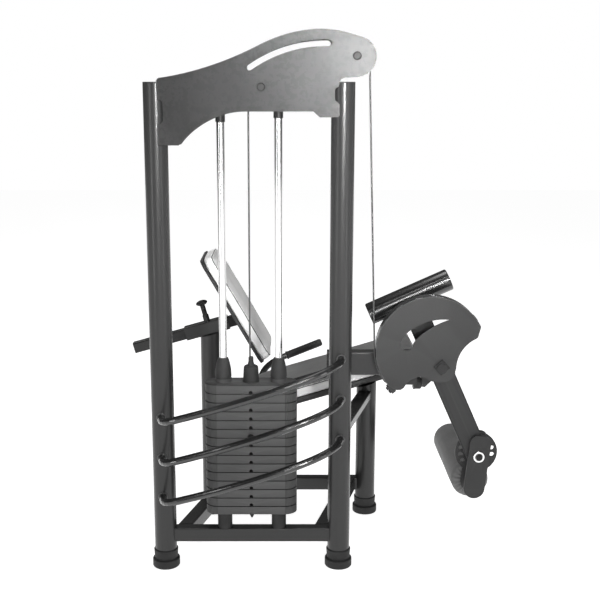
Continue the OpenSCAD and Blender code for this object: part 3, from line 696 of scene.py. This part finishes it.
def foam_roller():
    low, high = (Vector(c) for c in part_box("roller_foam"))
    centre = (low + high) / 2
    length = high.y - low.y
    outer = (high.z - low.z) / 2 - ROLLER_SKIN
    rings = []
    for along, r in roller_profile(length, outer):
        edge = min(along, length - along)
        gather = max(0.0, 1 - edge / GATHER_LENGTH) * (r > ROLLER_BORE + 0.004)
        ring = []
        for k in range(ROLLER_SIDES):
            t = 2 * math.pi * k / ROLLER_SIDES
            pleat = math.sin(t * PLEATS + 1.3 * math.sin(3 * t)) * 0.5 + 0.5
            spot = Vector((math.cos(t) * 3, math.sin(t) * 3, along * 14))
            reach = r
            if r > WOBBLE_FROM:
                reach += WOBBLE * noise.noise(spot)
            if r > COVER_FROM:
                reach -= PLEAT_DEPTH * gather * pleat + DRAWN_IN
            shift = PLEAT_SHIFT * gather * pleat * math.sin(math.pi * min(1, r / outer))
            y = low.y + along + (shift if along < length / 2 else -shift)
            ring.append(Vector((centre.x + reach * math.cos(t), y, centre.z + reach * math.sin(t))))
        rings.append(ring)
    work = bmesh.new()
    loft(work, rings, closed=True)
    obj = new_piece("roller_cover", work, FOAM, "roller")
    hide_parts("roller_foam")


foam_roller()


# ---- Fittings ----

WELD_SIDES = 8
WELD_LUMPS = 0.16
WELD_PITCH = 0.0045

GUARD_WELD_RADIUS = 0.0135
GUARD_BEAD = 0.0028
CROWN_BEAD = 0.0026

# Where the crown plates meet the uprights: distance from the tower's middle, and the welded heights
CROWN_WELDS = (
    (-0.2885, ((1.455, 1.512), (1.602, 1.655))),
    (0.2845, ((1.545, 1.580), (1.640, 1.646))),
)

# The cam rim's centre stands off the pivot
RIM_CENTRE = PIVOT + Vector((-0.037, 0, 0.059))
STITCH_RADIUS = 0.1826
STITCH_BEAD = 0.0024
# Radius and thickness of the painted highlight line round the front edge of the cam's plate
EDGE_HIGHLIGHT_RADIUS = 0.1824
EDGE_HIGHLIGHT_THICKNESS = 0.0011

# Ends of the right grip: distance along the machine, distance from the seat's middle, and height
GRIP_REAR = Vector((TOWER.x + 0.120, 0.211, 0.576))
GRIP_FRONT = Vector((TOWER.x + 0.259, 0.235, 0.626))
RIBS = 13
RIB_RING = 0.0150
RIB_THICKNESS = 0.0009


def link_cap():
    """Dark cap on the head of the link bolt."""
    height = 0.0028
    head_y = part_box("link_bolt")[0][1]
    work = bmesh.new()
    turned(work, (DISC.x, head_y - height, DISC.z), (0, 1, 0),
           [(0.0, 0.006), (0.0004, 0.0102), (0.0012, 0.0114), (height, 0.0118)])
    new_piece("link_bolt_cap", work, PLASTIC, "link")


def weld_ring(work, place, axis, radius, bead):
    """Closed weld bead round a bar that meets a surface."""
    points = circle_points(place, axis, radius, 72)
    tube(work, points, bead, WELD_SIDES, closed=True, lumps=WELD_LUMPS, pitch=2 * math.pi * radius / 22)


def weld_line(work, a, b, bead):
    a = Vector(a)
    b = Vector(b)
    count = max(4, int((b - a).length / 0.0015))
    points = [a.lerp(b, i / count) for i in range(count + 1)]
    tube(work, points, bead, WELD_SIDES, lumps=WELD_LUMPS, pitch=WELD_PITCH)


def rim_arc(radius, y, start, sweep, steps):
    """Points along the cam's rim, from start degrees through sweep degrees."""
    points = []
    for i in range(steps + 1):
        t = math.radians(start + sweep * i / steps)
        points.append(Vector((RIM_CENTRE.x + radius * math.cos(t), y, RIM_CENTRE.z + radius * math.sin(t))))
    return points


def guard_welds():
    """Beads where each guard rail meets the fronts of the uprights."""
    work = bmesh.new()
    for name in ("guard_rail_low", "guard_rail_middle", "guard_rail_high"):
        verts = [v.co for v in nodes[name].data.vertices]
        back_y = max(v.y for v in verts)
        ends = [v for v in verts if v.y > back_y - 0.002]
        for side in (-1, 1):
            mine = [v for v in ends if (v.x - TOWER.x) * side > 0]
            middle = sum(mine, Vector()) / len(mine)
            weld_ring(work, (middle.x, back_y - 0.0008, middle.z), (0, 1, 0), GUARD_WELD_RADIUS, GUARD_BEAD)
    new_piece("guard_rail_welds", work, WELD_AND_EDGE_HIGHLIGHT, "frame")


def crown_welds():
    """Short beads down the crown plates' edges, on the uprights' faces."""
    work = bmesh.new()
    for node, sign in (("crown_plate_front", -1), ("crown_plate_rear", 1)):
        low, high = (Vector(c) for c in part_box(node))
        face = low.y if sign < 0 else high.y
        y = face - sign * 0.0035
        for offset, spans in CROWN_WELDS:
            x = TOWER.x + offset
            for foot, head in spans:
                weld_line(work, (x, y, foot), (x, y, head), CROWN_BEAD)
    new_piece("crown_welds", work, WELD_AND_EDGE_HIGHLIGHT, "frame")


def cam_welds():
    """Stitch welds between the cam's plate and its rim."""
    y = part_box("cam_plate")[1][1]
    work = bmesh.new()
    for start in range(34, 214, 22):
        stitch = rim_arc(STITCH_RADIUS, y, start, 8, 24)
        tube(work, stitch, STITCH_BEAD, WELD_SIDES, lumps=0.18, pitch=WELD_PITCH)
    new_piece("cam_welds", work, WELD_AND_EDGE_HIGHLIGHT, "lever")


def cam_edge_highlight():
    """Thin raised line of lighter metal round the front edge of the cam's plate: a painted highlight for the
    light its rounded edge catches.
    """
    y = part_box("cam_plate")[0][1]
    work = bmesh.new()
    tube(work, rim_arc(EDGE_HIGHLIGHT_RADIUS, y, 27, 194, 180), EDGE_HIGHLIGHT_THICKNESS, WELD_SIDES)
    new_piece("cam_edge_highlight", work, WELD_AND_EDGE_HIGHLIGHT, "lever")


def grip_ribs():
    """Raised rings on the rubber grips."""
    work = bmesh.new()
    middle_y = centre_of("seat_pad").y
    run = GRIP_FRONT - GRIP_REAR
    for side in (-1, 1):
        axis = (run.x, run.y * side, run.z)
        for i in range(RIBS):
            p = GRIP_REAR + run * (0.14 + 0.72 * i / (RIBS - 1))
            place = (p.x, middle_y + side * p.y, p.z)
            tube(work, circle_points(place, axis, RIB_RING, 40), RIB_THICKNESS, 6, closed=True)
    new_piece("grip_ribs", work, RUBBER, "frame")


link_cap()
guard_welds()
crown_welds()
cam_welds()
cam_edge_highlight()
grip_ribs()
